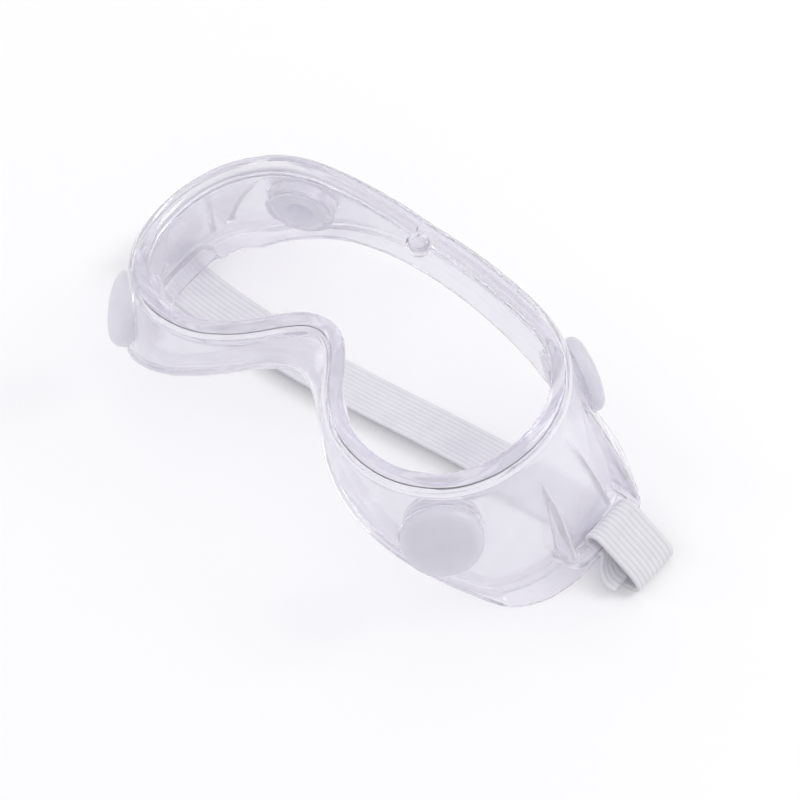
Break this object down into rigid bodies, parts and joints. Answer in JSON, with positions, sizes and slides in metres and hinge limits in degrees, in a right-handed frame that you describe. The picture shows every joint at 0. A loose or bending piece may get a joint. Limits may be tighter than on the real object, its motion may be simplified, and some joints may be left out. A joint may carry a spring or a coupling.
{
  "type": "splash safety goggles",
  "caption": "Clear splash safety goggles with a soft frame, round hooded vents and an elastic headband, lying lens up.",
  "frame": {"origin": "on the resting surface, under the middle of the object, lens facing up", "axes": "+Z out of the lens (the way the wearer looks), +Y towards the brow, +X towards the wearer's left"},
  "size_m": [0.2096, 0.095, 0.0638],
  "materials": {
    "clear_soft_frame": "clear soft PVC, satin pebbled walls and a glossy front bead",
    "clear_lens": "clear polycarbonate sheet, gloss",
    "knit_elastic": "white ribbed knitted elastic",
    "frosted_vent": "frosted translucent white plastic, satin"
  },
  "bodies": {
    "frame": {"frame_body": "clear_soft_frame", "lens": "clear_lens", "headband": "knit_elastic"},
    "seat_cheek_left": {"vent_seat_cheek_left": "frosted_vent"},
    "hood_cheek_left": {"vent_hood_cheek_left": "frosted_vent"},
    "seat_cheek_right": {"vent_seat_cheek_right": "frosted_vent"},
    "hood_cheek_right": {"vent_hood_cheek_right": "frosted_vent"},
    "seat_brow_left": {"vent_seat_brow_left": "frosted_vent"},
    "hood_brow_left": {"vent_hood_brow_left": "frosted_vent"},
    "seat_brow_right": {"vent_seat_brow_right": "frosted_vent"},
    "hood_brow_right": {"vent_hood_brow_right": "frosted_vent"}
  },
  "joints": [
    {"name": "turn_cheek_left", "type": "hinge", "parent": "frame", "child": "seat_cheek_left", "pos_m": [0.05838, -0.034, 0.0357], "axis": [0.6017, -0.702, 0.3811], "continuous": true},
    {"name": "pull_cheek_left", "type": "slide", "parent": "seat_cheek_left", "child": "hood_cheek_left", "axis": [0.6017, -0.702, 0.3811], "range_m": [0, 0.008]},
    {"name": "turn_cheek_right", "type": "hinge", "parent": "frame", "child": "seat_cheek_right", "pos_m": [-0.06642, -0.034, 0.0357], "axis": [-0.6017, -0.702, 0.3811], "continuous": true},
    {"name": "pull_cheek_right", "type": "slide", "parent": "seat_cheek_right", "child": "hood_cheek_right", "axis": [-0.6017, -0.702, 0.3811], "range_m": [0, 0.008]},
    {"name": "turn_brow_left", "type": "hinge", "parent": "frame", "child": "seat_brow_left", "pos_m": [0.05158, 0.0339, 0.0325], "axis": [0.4541, 0.878, 0.1514], "continuous": true},
    {"name": "pull_brow_left", "type": "slide", "parent": "seat_brow_left", "child": "hood_brow_left", "axis": [0.4541, 0.878, 0.1514], "range_m": [0, 0.008]},
    {"name": "turn_brow_right", "type": "hinge", "parent": "frame", "child": "seat_brow_right", "pos_m": [-0.05962, 0.0339, 0.0325], "axis": [-0.4541, 0.878, 0.1514], "continuous": true},
    {"name": "pull_brow_right", "type": "slide", "parent": "seat_brow_right", "child": "hood_brow_right", "axis": [-0.4541, 0.878, 0.1514], "range_m": [0, 0.008]}
  ]
}
